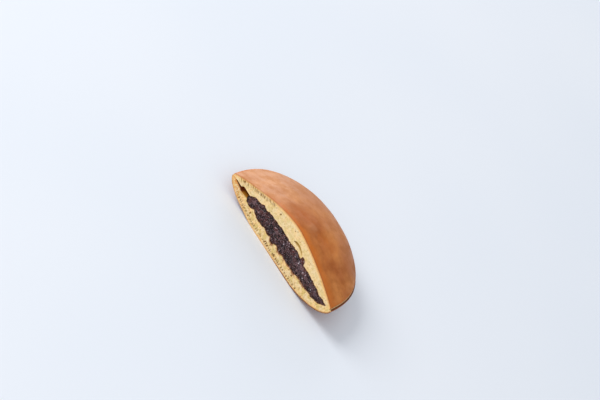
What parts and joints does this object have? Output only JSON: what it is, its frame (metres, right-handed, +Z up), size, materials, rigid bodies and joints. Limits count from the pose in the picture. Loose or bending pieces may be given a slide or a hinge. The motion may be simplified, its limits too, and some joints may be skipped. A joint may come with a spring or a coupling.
{
  "type": "half dorayaki",
  "caption": "Half of a round filled pancake sandwich, cut through the middle to show a layer of sweet red bean paste between two browned sponge pancakes; it rests on its lower pancake.",
  "frame": {"origin": "middle of the part's box, on the surface that the half rests on", "axes": "+X along the cut face, towards the end where the lower pancake reaches out further; the flat cut face looks towards -Y; +Z up through the two pancakes"},
  "size_m": [0.1496, 0.0782, 0.0412],
  "materials": {
    "pancake": "satin",
    "bean_paste": "gloss"
  },
  "bodies": {
    "root": {"upper_pancake": "pancake", "lower_pancake": "pancake", "bean_paste": "bean_paste"}
  },
  "joints": []
}
